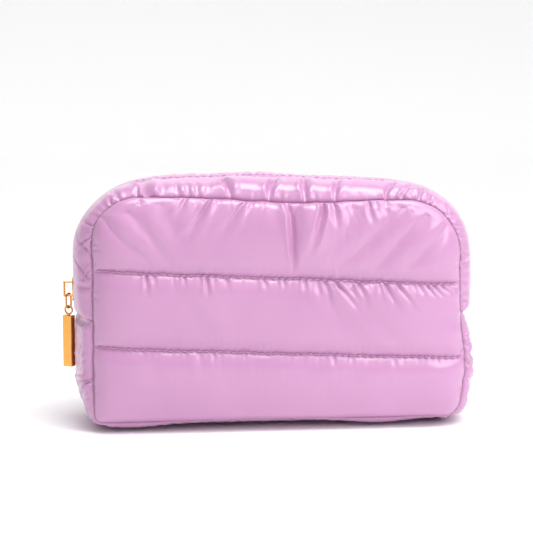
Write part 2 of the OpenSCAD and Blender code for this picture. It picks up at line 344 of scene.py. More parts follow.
def settle(grid, pinned, gather, steps, push, seed, reach=2.5):
    """Lets a sheet of cloth with some fabric to spare settle over its wadding. The sheet starts as grid,
    the pinned points stay, and no point strays further than reach from its start."""
    start = grid.copy()
    out = normals(grid)
    free = (~pinned)[..., None].astype(float)
    rng = np.random.default_rng(seed)
    cloth = grid + out * (rng.normal(0, 0.05, pinned.shape) * free[..., 0])[..., None]
    links = cloth_links(*pinned.shape, gather)
    rests = [np.linalg.norm(start[b] - start[a], axis=-1) * (1 + spare) for a, b, _, spare in links]
    velocity = np.zeros_like(cloth)
    for _ in range(steps):
        before = cloth.copy()
        cloth += velocity * 0.9 + out * (push * free)
        for (a, b, firmness, _), rest in zip(links, rests):
            at_a, at_b = cloth[a], cloth[b]
            gap = at_b - at_a
            length = np.linalg.norm(gap, axis=-1)
            free_a, free_b = free[a][..., 0], free[b][..., 0]
            pull = firmness * (length - rest) / np.maximum(length, 1e-6) / np.maximum(free_a + free_b, 1)
            gap *= pull[..., None]
            cloth[a] = at_a + gap * free_a[..., None]
            cloth[b] = at_b - gap * free_b[..., None]
        stray = cloth - start
        far = np.linalg.norm(stray, axis=2, keepdims=True)
        cloth = start + stray * np.minimum(1, reach / np.maximum(far, 1e-6))
        cloth = np.where(pinned[..., None], start, cloth)
        velocity = (cloth - before) * 0.8
    return cloth


def settled(grid, pinned, **how):
    return settle(grid, pinned, **how)


# ---- Meshes ----


def finish_mesh(name, verts, faces, material):
    mesh = bpy.data.meshes.new(name)
    mesh.from_pydata((np.asarray(verts) * MM).tolist(), [], faces)
    mesh.validate()
    mesh.update()
    mesh.polygons.foreach_set("use_smooth", [True] * len(mesh.polygons))
    obj = bpy.data.objects.new(name, mesh)
    bpy.context.scene.collection.objects.link(obj)
    mesh.materials.append(material)
    return obj


def tube_faces(rings, sides, first):
    """The walls of a tube whose vertices lie in rings, counted from first."""
    faces = []
    for r in range(rings - 1):
        for c in range(sides):
            a = first + r * sides + c
            b = first + r * sides + (c + 1) % sides
            faces.append((a, b, b + sides, a + sides))
    return faces


def pillow_mesh(name, outer, inner, material):
    """A closed padded piece: an outer and an inner face that share their edge."""
    rows, cols = outer.shape[:2]
    edge = border(rows, cols)
    index = np.arange(rows * cols).reshape(rows, cols)
    inner_index = index.copy()
    inner_index[~edge] = rows * cols + np.arange((~edge).sum())
    verts = np.concatenate([outer.reshape(-1, 3), inner[~edge]])
    faces = []
    for table, turned in ((index, False), (inner_index, True)):
        quads = np.stack([table[:-1, :-1], table[:-1, 1:], table[1:, 1:], table[1:, :-1]], -1)
        quads = quads.reshape(-1, 4)
        faces += (quads[:, ::-1] if turned else quads).tolist()
    return finish_mesh(name, verts, faces, material)


def tube_mesh(name, paths, radius, material):
    """Round threads along the paths, with closed tapered ends."""
    sides = 6
    verts, faces = [], []
    for path in paths:
        path = np.asarray(path, float)
        tangent = unit(np.gradient(path, axis=0))
        up = unit(np.cross(tangent, [0.31, 0.77, 0.55]))
        side = np.cross(tangent, up)
        taper = np.ones(len(path))
        taper[0] = taper[-1] = 0.35
        first = len(verts)
        for k in range(len(path)):
            for s in range(sides):
                angle = 2 * math.pi * s / sides
                ray = math.cos(angle) * up[k] + math.sin(angle) * side[k]
                verts.append(path[k] + radius * taper[k] * ray)
        faces += tube_faces(len(path), sides, first)
        faces.append(tuple(first + s for s in range(sides))[::-1])
        faces.append(tuple(first + (len(path) - 1) * sides + s for s in range(sides)))
    return finish_mesh(name, verts, faces, material)


# ---- Materials ----


WAVE_PITCH = 0.314  # metres between the bands of a wave texture whose scale is 1


class Look:
    """A material in the making, with the kinds of node that the materials share."""

    def __init__(self, name):
        self.material = bpy.data.materials.new(name)
        self.material.use_nodes = True
        self.shader = self.material.node_tree.nodes["Principled BSDF"]
        self.coords = self.node("TexCoord", {}, {}).outputs["Object"]

    def fill(self, node, sources, values):
        """Sets inputs of a node: sources are other nodes' outputs, and values stay constant."""
        for key, output in sources.items():
            self.material.node_tree.links.new(output, node.inputs[key])
        for key, value in values.items():
            node.inputs[key].default_value = value

    def node(self, kind, sources, values):
        node = self.material.node_tree.nodes.new("ShaderNode" + kind)
        self.fill(node, sources, values)
        return node

    def noise(self, scale, detail, vector=None):
        sources = {"Vector": vector or self.coords}
        return self.node("TexNoise", sources, {"Scale": scale, "Detail": detail}).outputs["Fac"]

    def ramp(self, source, low, high, start=0.0, end=1.0):
        """Blends from the colour low to the colour high."""
        node = self.node("ValToRGB", {"Fac": source}, {})
        for stop, place, colour in zip(node.color_ramp.elements, (start, end), (low, high)):
            stop.position = place
            stop.color = (*colour, 1)
        return node.outputs["Color"]

    def spread(self, source, low, high):
        """Stretches 0 to 1 into low to high."""
        node = self.node("MapRange", {"Value": source}, {"To Min": low, "To Max": high})
        node.clamp = False
        return node.outputs["Result"]

    def relief(self, source, distance, strength, after=None):
        node = self.node("Bump", {"Height": source}, {"Distance": distance, "Strength": strength})
        if after:
            self.fill(node, {"Normal": after}, {})
        return node.outputs["Normal"]

    def weave(self, pitch):
        """Two sets of fine ribs across each other, as in plain-woven cloth, pitch metres apart."""
        ribs = []
        for direction in ("X", "Z"):
            values = {"Scale": WAVE_PITCH / pitch, "Distortion": 0.4, "Detail": 1.0}
            wave = self.node("TexWave", {"Vector": self.coords}, values)
            wave.wave_type = "BANDS"
            wave.bands_direction = direction
            ribs.append(wave.outputs["Fac"])
        cross = self.node("Math", {0: ribs[0], 1: ribs[1]}, {})
        cross.operation = "MULTIPLY"
        return cross.outputs["Value"]

    def finish(self, sources, values):
        """Feeds the shader, and gives the material."""
        self.fill(self.shader, sources, values)
        return self.material


def puffer_fabric():
    """Coated nylon with a pearl gloss: a clear coat over softly varied pink."""
    look = Look("puffer_fabric")
    colour = look.ramp(look.noise(22, 3), (0.480, 0.227, 0.417), (0.568, 0.282, 0.501))
    crinkle = look.relief(look.noise(150, 1), 0.0005, 0.16)
    grain = look.relief(look.noise(2200, 2), 0.0001, 0.12, crinkle)
    smear = look.spread(look.noise(60, 2), 0.24, 0.40)
    return look.finish({"Base Color": colour, "Roughness": smear, "Normal": grain}, {
        "Coat Weight": 0.55, "Coat Roughness": 0.16, "Sheen Weight": 0.22, "Sheen Roughness": 0.35,
        "Specular IOR Level": 0.6})


def woven(name, low, high, pitch, rough):
    look = Look(name)
    weave = look.weave(pitch)
    tone = look.noise(180, 3)
    mix = look.node("Math", {0: weave, 2: tone}, {1: 0.5})
    mix.operation = "MULTIPLY_ADD"
    colour = look.ramp(mix.outputs["Value"], low, high, 0.35, 0.95)
    duller = look.spread(tone, rough - 0.08, rough + 0.08)
    ribs = look.relief(weave, pitch * 0.3, 0.5)
    return look.finish({"Base Color": colour, "Roughness": duller, "Normal": ribs}, {"Sheen Weight": 0.3})


def thread():
    look = Look("thread")
    twist = look.node("TexWave", {"Vector": look.coords}, {"Scale": 900})
    twist.bands_direction = "DIAGONAL"
    ply = twist.outputs["Fac"]
    colour = look.ramp(ply, (0.50, 0.235, 0.44), (0.66, 0.34, 0.60), 0.2, 0.8)
    plies = look.relief(ply, 0.0001, 0.5)
    return look.finish({"Base Color": colour, "Normal": plies}, {"Roughness": 0.55})


def coil_plastic():
    look = Look("coil_plastic")
    tone = look.noise(700, 2)
    colour = look.ramp(tone, (0.52, 0.22, 0.44), (0.62, 0.29, 0.53))
    grain = look.relief(tone, 0.0001, 0.2)
    return look.finish({"Base Color": colour, "Normal": grain}, {"Roughness": 0.35})


def gold():
    """Light gold plating with fine polishing lines and slightly duller patches."""
    look = Look("gold_plate")
    tone = look.noise(260, 3)
    colour = look.ramp(tone, (0.74, 0.36, 0.09), (0.84, 0.43, 0.12))
    stretch = look.node("Mapping", {"Vector": look.coords}, {"Scale": (6000, 6000, 120)})
    lines = look.noise(1.0, 2.0, stretch.outputs["Vector"])
    duller = look.spread(tone, 0.16, 0.27)
    polish = look.relief(lines, 0.00002, 0.25)
    return look.finish({"Base Color": colour, "Roughness": duller, "Normal": polish}, {"Metallic": 1.0})


def paper():
    look = Look("studio_paper")
    colour = look.ramp(look.noise(3, 2), (0.93, 0.93, 0.93), (0.95, 0.95, 0.95))
    return look.finish({"Base Color": colour}, {"Roughness": 0.9})


FABRIC = puffer_fabric()
LINING = woven("lining_cloth", (0.44, 0.20, 0.38), (0.58, 0.30, 0.51), 0.0005, 0.65)
TAPE = woven("zip_tape_cloth", (0.50, 0.21, 0.42), (0.62, 0.29, 0.53), 0.0007, 0.6)
BINDING = woven("binding_cloth", (0.42, 0.18, 0.36), (0.55, 0.27, 0.48), 0.0006, 0.6)
THREAD = thread()
COIL = coil_plastic()
GOLD = gold()

# ---- Panels ----

# how far inside the seams the lining's two faces lie
LINING_GAP, LINING_DEPTH = 0.35, 0.8


def panel_layout(side):
    """The panel's flat layout: rows of points from side to side, close together round its corners."""
    corners = CORNERS[side]
    high, low = max(corners["left"], corners["right"]), max(corners["left_foot"], corners["right_foot"])
    rows = np.concatenate([
        BOTTOM_Z + low * (1 - np.cos(np.linspace(0, math.pi / 2, 13))),
        np.linspace(BOTTOM_Z + low, TOP_Z - high, int((TOP_Z - high - BOTTOM_Z - low) / STEP))[1:-1],
        TOP_Z - high + high * np.sin(np.linspace(0, math.pi / 2, int(high * math.pi / 2 / STEP)))])
    for seam in (LOWER_QUILT_Z, FOLD_Z):
        rows[np.argmin(np.abs(rows - seam))] = seam
    across = np.linspace(0, 1, int(2 * HALF_W / STEP))
    left = np.full(len(rows), -HALF_W)
    right = np.full(len(rows), HALF_W)
    sides = ((left, 1, corners["left"], corners["left_foot"]),
             (right, -1, corners["right"], corners["right_foot"]))
    for edge, sign, top_r, foot_r in sides:
        up = np.clip(rows - (TOP_Z - top_r), 0, top_r)
        edge += sign * (top_r - np.sqrt(np.maximum(top_r ** 2 - up ** 2, 0)))
        down = np.clip(BOTTOM_Z + foot_r - rows, 0, foot_r)
        edge += sign * (foot_r - np.sqrt(np.maximum(foot_r ** 2 - down ** 2, 0)))
    x = left[:, None] + (right - left)[:, None] * across
    z = np.repeat(rows[:, None], len(across), axis=1)
    return x, z


def rise(distance, reach, power):
    """A padded edge: steep at the seam, flat once it is "reach" away."""
    share = np.clip(distance / reach, 0, 1)
    return (1 - (1 - share) ** 2) ** power


PANEL_PUFF = 6.4
EDGE_REACH = 24.0
QUILT_DRAW, QUILT_REACH = 1.25, 15.0


def panel_height(x, z, side, seed):
    """How far the shell stands out from the seams. The quilting draws it in, but not all the way."""
    edge = edge_distance(x, z, side)
    quilt = np.minimum(np.abs(z - LOWER_QUILT_Z), np.abs(z - FOLD_Z))
    puff = PANEL_PUFF + 0.55 * noise(x, z, 75, seed) + 0.16 * noise(x, z, 24, seed + 1)
    scallop = 0.3 * bump(quilt, 1.3, 0.9) * np.cos(2 * math.pi * x / STITCH)
    groove = QUILT_DRAW * (1 - rise(quilt, QUILT_REACH, 0.6)) - scallop
    return puff * rise(np.maximum(edge, 0), EDGE_REACH, 0.6) - groove * smooth(0, 2.5, edge)


SPAN = (-100, 100)  # the stretch of the quilting that has gathers
FAR = 99.0


def below(seam, z):
    """The distance under a seam, and FAR above it, where a crease doesn't reach."""
    return np.where(z < seam, seam - z, FAR)


def above(seam, z):
    return np.where(z > seam, z - seam, FAR)


def front_creases(height, x, z):
    """The creases that show in the front, placed one by one, and small gathers between them."""
    from_top = np.interp(x, [-90, -77, 74, 92], [127, TOP_Z, TOP_Z, 127]) - z
    below_fold, above_fold = below(FOLD_Z, z), above(FOLD_Z, z)
    below_lower = below(LOWER_QUILT_Z, z)
    above_lower = np.where(z < FOLD_Z, above(LOWER_QUILT_Z, z), FAR)
    # the deep V in the middle of the top seam, and the folds to its right and to its left
    deep_fold(height, x, from_top)
    fold_row(height, x, from_top, (
        (25.5, 32, 2.0, 2.6, -0.2, 1.2, 0.8, 0.0, -0.1), (30.5, 13, 3.0, 2.2, 0.12, 0.7, 0.6),
        (51.0, 12, 1.3, 2.0, 0.1, 1.8, 0.7), (62.0, 8, 1.6, 1.4, -0.4, 1.6, 0.6)))
    fold_row(height, x, from_top, (
        (-19.5, 22, 1.25, 1.8, -0.72), (-39.0, 25, 1.25, 1.9, -0.62), (-53.0, 13, 1.25, 1.6, -0.5),
        (-79, 8, 1.25, 1.4, 0)), fan=3.6, ridge=0.8)
    # soft diagonal folds across the upper channel
    fold_row(height, x, np.clip(from_top - 3, 0, None), (
        (-101, 46, 3.0, 1.6, 0.75), (-86, 48, 4.0, 1.5, 0.62), (-68, 36, 4.6, 0.8, 0.5),
        (86, 54, 5.5, 1.7, -0.9), (99, 52, 4.5, 1.7, -0.75), (72, 48, 6.0, 1.3, -1.1),
        (44, 40, 6.0, 0.8, -0.5)), fan=1.6, ridge=0.6)
    # under the upper quilting
    fold_row(height, x, below_fold, (
        (-76, 13, 1.0, 1.7, 0.05), (-72, 7, 0.8, 0.9, 0.3), (-54.5, 6, 0.8, 1.2, 0.0),
        (-42, 12, 1.1, 1.6, 0.1), (-33, 10, 2.2, 0.8, 0.7), (-10, 8, 1.0, 0.9, 0.4),
        (2, 6, 0.8, 0.8, 0.2), (13, 8, 1.0, 0.9, 0.3), (25, 12, 1.2, 1.4, 0.4),
        (31, 17, 1.4, 1.9, 0.9), (44, 14, 1.3, 1.5, 0.6), (60, 16, 1.4, 1.8, 0.6),
        (67, 18, 1.3, 1.6, 0.8), (80, 8, 0.8, 1.2, 0.6), (84.5, 9, 0.8, 1.4, 0.7),
        (88.5, 10, 0.9, 1.4, 0.8), (93, 10, 1.0, 1.3, 0.9), (98, 9, 1.0, 1.2, 0.9)), fan=1.8, ridge=0.9)
    # long soft waves down the middle channel, on both sides of the middle
    fold_row(height, x, np.clip(below_fold - 4, 0, None), (
        (22, 40, 5.0, 0.7, 0.75), (40, 42, 5.5, 0.8, 0.9), (-62, 36, 6.0, 0.5, 0.6)), fan=1.5, ridge=0.6)
    # under the lower quilting
    fold_row(height, x, below_lower, (
        (-96, 8, 1.4, 1.0, 0.3), (-80, 13, 3.0, 0.7, 0.9), (-47, 17, 2.6, 0.7, 0.35),
        (-38, 5, 0.8, 0.9, 0.1), (-20, 6, 0.8, 0.8, 0.0), (30, 9, 1.2, 0.7, 0.5),
        (64, 11, 1.4, 0.7, 0.4), (88, 9, 1.2, 0.9, 0.6)), fan=1.8, ridge=0.6)
    gathers(height, x, above_fold, SPAN, 22, 3, (2, 6), (0.7, 1.1), (0.3, 0.7))
    gathers(height, x, below_fold, SPAN, 18, 4, (2, 7), (0.7, 1.1), (0.4, 0.8))
    gathers(height, x, above_lower, SPAN, 26, 5, (2, 6), (0.8, 1.1), (0.3, 0.5))
    gathers(height, x, below_lower, SPAN, 24, 6, (2, 6), (0.8, 1.1), (0.3, 0.6))
    gathers(height, x, np.clip(from_top, 0, None), (-75, 72), 11, 7, (4, 9), (0.8, 1.4), (0.5, 1.2))
    side_creases(height, x, z, 8)


def deep_fold(height, x, from_top):
    """The deep V under the top seam: a sharp lip on its left, and one flat face that rises to the right."""
    at, length, width, depth = 5.6, 43, 10.6, 5.0
    far = np.clip(from_top / length, 0, 1)
    off = (x - at - 1.6 * far) / (width * (1 - far) ** 0.8 + 0.4)
    slope = smooth(0, 1, 1 - off) * 0.35 + np.clip(1 - off, 0, 1) * 0.65
    face = np.where(off < 0, np.exp(-((off * 5.5) ** 2)), slope)
    lips = 0.38 * bump(off, -0.4, 0.22) + 0.2 * bump(off, 1.25, 0.35)
    height += depth * (1 - far) ** 0.75 * smooth(0, 1.2, from_top) * (lips - face)


def side_creases(height, x, z, seed):
    """Gathers that run in from the two side seams."""
    gathers(height, z, HALF_W + x, (12, 104), 11, seed, (4, 13), (0.8, 1.4), (0.4, 1.2), 0.8)
    gathers(height, z, HALF_W - x, (12, 98), 8, seed + 1, (4, 15), (0.8, 1.5), (0.5, 1.5), 0.8)


def back_creases(height, x, z):
    """The back wasn't seen: its creases are softer ones of the same kind."""
    from_top = TOP_Z - z
    rows = (above(FOLD_Z, z), below(FOLD_Z, z), above(LOWER_QUILT_Z, z), below(LOWER_QUILT_Z, z))
    for seed, away in enumerate(rows, 21):
        gathers(height, x, away, SPAN, 11, seed, (5, 18), (0.9, 1.7), (0.5, 2.0), 0.8)
    gathers(height, x, from_top, (-60, 50), 14, 25, (8, 32), (1.2, 2.4), (1.2, 3.2), 0.6)
    fold_row(height, x, np.clip(from_top - 3, 0, None), (
        (-80, 50, 5.0, 1.6, 0.7), (-50, 44, 6.0, 1.2, -0.5), (20, 44, 6.0, 1.2, 0.6),
        (84, 54, 5.0, 1.6, -0.8)), fan=1.6, ridge=0.6)
    side_creases(height, x, z, 26)


def panel(side, creases, seed):
    """The padded wall on one side, with its lining and quilting. side is -1 in front and 1 at the back."""
    word = WORD[side]
    flat_x, flat_z = panel_layout(side)
    full = panel_height(flat_x, flat_z, side, seed)
    height = full.copy()
    creases(height, flat_x, flat_z)
    height = np.maximum(height, 0.25 * full)
    height = np.maximum(height, 0.15) * smooth(-0.01, 0.6, edge_distance(flat_x, flat_z, side))
    x, z = hang(flat_x, flat_z)
    outer = np.stack([x, side * (SEAM_Y + height), z], -1)
    if side > 0:
        outer = outer[:, ::-1]
    quilted = [int(np.argmin(np.abs(flat_z[:, 0] - seam))) for seam in (LOWER_QUILT_Z, FOLD_Z)]
    pinned = border(*height.shape)
    pinned[quilted] = True
    outer = settled(outer, pinned, gather=0.008, steps=50, push=0.015, seed=seed)
    inner = outer.copy()
    inner[..., 1] = side * (SEAM_Y - 0.1)
    obj = pillow_mesh(word + "_panel", outer, inner, FABRIC)
    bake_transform(obj)
    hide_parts(word + "_shell_lower", word + "_shell_upper", word + "_wadding_lower",
                word + "_wadding_middle", word + "_wadding_upper")
    kept_rows = np.unique(np.r_[0:len(outer):3, quilted, len(outer) - 1])
    panel_lining(side, inner[kept_rows][:, ::3], seed)
    lines = [outer[row][2:-2] + [0, side * 1.0, 0] for row in quilted]
    stitching(word + "_quilting", lines, np.array([0, side, 0.0]), 0.36)


def panel_lining(side, cloth, seed):
    """The lining behind a panel: a thin, slightly rippled sheet. cloth gives its points' x and z."""
    word = WORD[side]
    ripple = 0.14 * noise(cloth[..., 0], cloth[..., 2], 16, seed + 70)
    cloth[..., 1] = side * (SEAM_Y - LINING_GAP)
    under = cloth.copy()
    under[..., 1] = side * (SEAM_Y - LINING_DEPTH + ripple)
    lining = pillow_mesh(word + "_lining", cloth, under, LINING)
    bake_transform(lining)
    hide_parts(word + "_lining_lower", word + "_lining_upper")


# ---- Stitching ----


STITCH_LENGTH = 3.2
STITCH_SINK = 0.8


def stitches(path, out):
    """Single stitches along a path: each dips into the cloth at its two ends."""
    path = np.asarray(path, float)
    along = lengths(path)
    out = np.broadcast_to(out, path.shape)
    u = np.linspace(0, 1, 7)
    dip = STITCH_SINK * (np.sqrt(np.maximum(np.sin(math.pi * u), 0)) - 0.85)
    found = []
    for start in np.arange(0.4, along[-1] - STITCH_LENGTH, STITCH):
        at = start + u * STITCH_LENGTH
        found.append(points_at(path, along, at) + points_at(out, along, at) * dip[:, None])
    return found


def stitching(name, lines, out, radius):
    paths = []
    for path in lines:
        paths += stitches(path, out)
    obj = tube_mesh(name, paths, radius, THREAD)
    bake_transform(obj)


panel(-1, front_creases, 5)
panel(1, back_creases, 9)

# ---- Zip gusset ----

END_PUFF = 3.0


def end_profile(across):
    """How far the gusset stands out at the cross seams, across the bag's depth from -SEAM_Y to SEAM_Y."""
    off = np.clip((SEAM_Y - np.abs(across)) / (SEAM_Y - SLOT_Y), 0, 1)
    return ZIP_V * off + END_PUFF * (4 * off * (1 - off)) ** 0.5


def leaf(height, along, away, at, length, width, depth, lean, curl):
    """A leaf-shaped dent with raised rims: it starts as a point on the seam, opens, bends and closes."""
    far = np.clip(away / length, 0, 1)
    wide = width * np.sin(math.pi * np.clip(far, 0.04, 0.97)) ** 0.8
    off = (along - at - lean * away - curl * length * far * far) / np.maximum(wide, 0.3)
    off = np.where(off > 0, off * 0.6, off * 1.4)
    strength = smooth(0, 1.0, away) * smooth(0, 0.25, 1 - far)
    rims = 0.55 * bump(off, -1.15, 0.5) + 0.4 * bump(off, 1.15, 0.5)
    height += depth * strength * (rims - np.exp(-(off ** 4)))


def strip_creases(height, along, away, seed, leaves, swooshes):
    """Folds across the gusset: leaves and swooshes on top, crumples round the corners and down the ends."""
    total = along.max()
    top_start, top_end = total * 0.25, total * 0.74
    for fold in leaves:
        leaf(height, along, away, *fold)
    for *fold, curl in swooshes:
        crease(height, along, away, *fold, fan=2.0, ridge=1.0, skew=0.8, curl=curl)
    gathers(height, along, away, (4, top_start), 7.0, seed, (8, 20), (0.9, 1.5), (1.0, 2.2), 1.1)
    gathers(height, along, away, (top_end, total - 4), 5.6, seed + 1, (8, 19), (0.9, 1.5), (1.0, 2.4), 1.1)
    gathers(height, along, away, (top_start, top_end), 30, seed + 2, (4, 8), (0.8, 1.2), (0.4, 0.8), 0.6)
    gathers(height, along, 24 - away, (0, total), 10, seed + 3, (3, 7), (0.8, 1.3), (0.2, 0.5), 0.5)


# leaves are (x along the seam, length, width, depth, lean, curl), and so are swooshes
LEAVES_FRONT = (
    (-27.7, 17, 2.6, 2.2, -0.55, 0.05), (-6.0, 19, 2.8, 2.3, -0.3, 0.6), (15.2, 18, 3.0, 2.3, -0.4, 0.45),
    (32.2, 17, 2.5, 2.0, -0.2, 0.6), (60.2, 14, 2.0, 1.7, 0.3, 0.5))
SWOOSHES_FRONT = (
    (-75.0, 25, 3.0, 3.4, -0.5, 0.0), (-57, 10, 1.4, 1.0, -0.5, 0.0), (-51.5, 10, 1.4, 1.1, -0.5, 0.0),
    (-46, 10, 1.4, 1.0, -0.5, 0.0), (0.8, 6, 1.0, 1.0, 0.0, 0.0), (69, 15, 1.7, 2.2, 0.9, 0.1))
LEAVES_BACK = ((-12.0, 16, 2.8, 2.0, -0.4, 0.4), (33.0, 17, 2.6, 2.0, 0.4, -0.4))
SWOOSHES_BACK = (
    (-62, 16, 2.2, 2.4, 0.8, 0.0), (-34, 13, 2.4, 1.6, -0.4, 0.2), (12, 18, 2.0, 2.4, -0.5, 0.4),
    (57, 17, 1.8, 2.2, -0.7, 0.2))
ACROSS = 28  # rows of points across a strip

# how far each strip is padded, from the left cross seam, 0, to the right one, 1
PUFF_AT = [0, 0.12, 0.2, 0.28, 0.42, 0.6, 0.74, 0.86, 1]
PUFF = {-1: [3.8, 4.0, 2.6, 3.6, 6.2, 6.2, 4.4, 3.2, 3.4], 1: [3.8, 3.2, 1.6, 2.0, 4.9, 4.7, 2.6, 2.4, 3.4]}


def strip_height(share, along, away, width, side, seed, leaves, swooshes):
    """How far a strip stands out. share runs from 0 at the panel's seam to 1 at the zip; away is in mm."""
    end_share = along / along.max()
    puff = np.interp(end_share, PUFF_AT, PUFF[side])
    puff = puff * (1 + 0.14 * noise(along, away * 1.5, 40, seed))
    round_off = (4 * share * (1 - share)) ** 0.5
    full = puff * round_off
    folds = np.zeros_like(full)
    strip_creases(folds, along, away, seed, leaves, swooshes)
    height = np.maximum(full + folds * np.minimum(1, puff / 4.2), 0.3 * full)
    close = smooth(0, 0.025, end_share) * smooth(0, 0.025, 1 - end_share)
    height = height * close + END_PUFF * round_off * (1 - close)
    return np.maximum(height, 0.1) * smooth(0, 0.9, away) * smooth(0, 0.9, width - away)


def strip(side, seed, leaves, swooshes):
    """One padded strip of the zip gusset, from the panel's seam to the zip, with all that is sewn to it."""
    word = WORD[side]
    root = in_plane(hung(run_of(top_legs(side), STRIP_STEPS)), side * SEAM_Y)
    edge = in_plane(ZIP_LINE, side * SLOT_Y)
    flat, share = sheet_between(root, edge, ACROSS)
    along = lengths((root + edge) / 2)[None].repeat(ACROSS, 0)
    width = np.linalg.norm(edge - root, axis=1)[None]
    away = share * width
    top = slice(STRIP_STEPS[0] + 10, -STRIP_STEPS[-1] - 10)

    def along_seam(folds):
        return [(np.interp(x, root[top, 0], along[0, top]), *rest) for x, *rest in folds]

    height = strip_height(share, along, away, width, side, seed, along_seam(leaves), along_seam(swooshes))
    out = normals(flat) * -1
    out *= np.sign(((flat - flat.mean((0, 1))) * out)[..., [0, 2]].sum(-1).mean())
    outer = flat + out * height[..., None]
    order = slice(None, None, -side)
    grid = settled(outer[:, order], border(*height.shape), gather=0.04, steps=60, push=0.015, seed=seed,
                   reach=2.0)
    inner = (flat - out * 0.15)[:, order].copy()
    inner[0], inner[-1] = grid[0], grid[-1]
    obj = pillow_mesh(word + "_gusset", grid, inner, FABRIC)
    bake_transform(obj)
    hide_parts(word + "_gusset_shell", word + "_gusset_wadding")
    lining = strip_lining(side, flat, out, noise(along, away, 15, seed + 70), order)
    up = in_plane(outwards(ZIP_LINE), 0)
    tape = zip_tape(side, edge, (root - edge) / width.T, out.mean(0), up, order)
    coil = zip_coil(side, up)
    if side < 0:
        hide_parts("zip_end_shells", "zip_end_waddings")
        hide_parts("zip_end_linings")
        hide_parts("zip_end_tapes")
        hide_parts("zip_end_coils")
    row = ACROSS - 4
    lines = [grid[row][8:-8] + (out[row] * 0.1)[order][8:-8]]
    stitching(word + "_zip_stitching", lines, out[row][order][8:-8], 0.2)


def gusset_lining(name, flat, out, ripple, rows, cols):
    """The lining under a gusset: a thin, slightly rippled sheet through the given rows and columns."""
    cloth = (flat - out * LINING_GAP)[rows][:, cols]
    under = (flat - out * (LINING_DEPTH + 0.12 * ripple[..., None]))[rows][:, cols]
    return pillow_mesh(name, cloth, under, LINING)


def strip_lining(side, flat, out, ripple, order):
    word = WORD[side]
    cols = np.r_[0:flat.shape[1]:3][order]
    lining = gusset_lining(word + "_gusset_lining", flat, out, ripple, np.r_[0:ACROSS:3], cols)
    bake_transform(lining)
    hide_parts(word + "_gusset_lining")
    return lining


def zip_tape(side, edge, inward, out, up, order):
    """The woven tape, from the coil to well under the strip's edge."""
    word = WORD[side]
    bare = [edge + [0, side * d, 0] - up * 0.35 for d in (-5.6, -5.2, -3.4, -1.6, 0.0)]
    covered = [edge + inward * d - out * 0.95 for d in (2.0, 4.2, 6.2)]
    face = np.stack(bare + covered)[:, order]
    tape = pillow_mesh(word + "_zip_tape_woven", face, face - (up * 0.45)[order][None], TAPE)
    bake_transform(tape)
    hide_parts(word + "_zip_tape")
    return tape


def zip_coil(side, up):
    """The coil's turns: a flat spiral of thread along each edge of the zip, parted where the slider is."""
    path = in_plane(ZIP_LINE, side * 1.42) + up * 0.6
    first = int(np.argmax(path[:, 2] > COIL_Z))
    last = len(path) - int(np.argmax(path[::-1, 2] > COIL_Z))
    path, up = path[first:last], up[first:last]
    along = lengths(path)
    pitch, points = 1.5, 12
    half_thick, half_wide, half_parted = 0.33, 1.34, 1.0
    at = np.arange(0, along[-1], pitch / points)
    centre = points_at(path, along, at)
    angle = 2 * math.pi * at / pitch + (math.pi if side > 0 else 0)
    turn = centre + points_at(up, along, at) * (half_thick * np.sin(angle))[:, None]
    # in the slider's lower half the turns are narrower and stand aside, so that its post has room
    parted = (centre[:, 0] < 0) * (1 - smooth(SLIDER_Z - 0.5, SLIDER_Z + 1.5, centre[:, 2]))
    aside = (half_wide - half_parted) * parted
    turn[:, 1] += side * (aside + (half_wide - aside) * np.cos(angle))
    obj = tube_mesh(WORD[side] + "_zip_turns", [turn], 0.27, COIL)
    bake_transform(obj)
    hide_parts(WORD[side] + "_zip_coil")
    return obj


strip(-1, 31, LEAVES_FRONT, SWOOSHES_FRONT)
strip(1, 41, LEAVES_BACK, SWOOSHES_BACK)

# ---- Base gusset ----


def base_height(flat, share, along, across):
    """How far the base gusset stands out: the puff of its ends and underside, and gathers on both seams."""
    x, z = flat[..., 0], flat[..., 2]
    total = along.max()
    left_end = np.interp(z, [0, 6.5, 9, 15, 22, 28, 44, 66], [0, 3.4, 5.2, 8.2, 10.6, 11.8, 12.2, 11.6])
    right_end = np.interp(z, [0, 6.5, 12, 20, 30, 44, 66], [0, 6.4, 9.2, 10.0, 10.0, 9.2, 7.6])
    wall = np.abs(x) > HALF_W - 4
    puff = np.where(wall, np.where(x < 0, left_end, right_end), BOTTOM_Z + 0.4)
    spread = 6
    kernel = np.hanning(2 * spread + 1) / np.hanning(2 * spread + 1).sum()
    puff = np.apply_along_axis(
        lambda row: np.convolve(np.pad(row, spread, mode="edge"), kernel, "valid"), 1, puff)
    power = np.where(wall, 0.36, 0.55 - 0.3 * (bump(x, -84, 24) + bump(x, 58, 24)))
    full = puff * (4 * share * (1 - share)) ** power
    height = full.copy()
    for sign, seed in ((1, 51), (-1, 61)):
        from_seam = SEAM_Y + sign * across
        gathers(height, along, from_seam, (6, 56), 10, seed, (6, 16), (0.9, 1.6), (0.7, 1.7), 0.8)
        gathers(height, along, from_seam, (total - 52, total - 6), 8, seed + 1,
                (7, 18), (0.9, 1.6), (0.7, 1.8), 0.8)
        gathers(height, along, from_seam, (72, total - 72), 14, seed + 2,
                (3, 6), (0.9, 1.8), (0.2, 0.4), 0.4)
        fold_row(height, along, from_seam, (
            (36, 20, 1.8, 2.0, 0.35), (total - 30, 20, 1.8, 2.2, -0.5), (total - 20, 17, 1.8, 1.8, 0.4)),
            fan=1.6, ridge=0.7)
    return np.maximum(height, 0.5 * full)


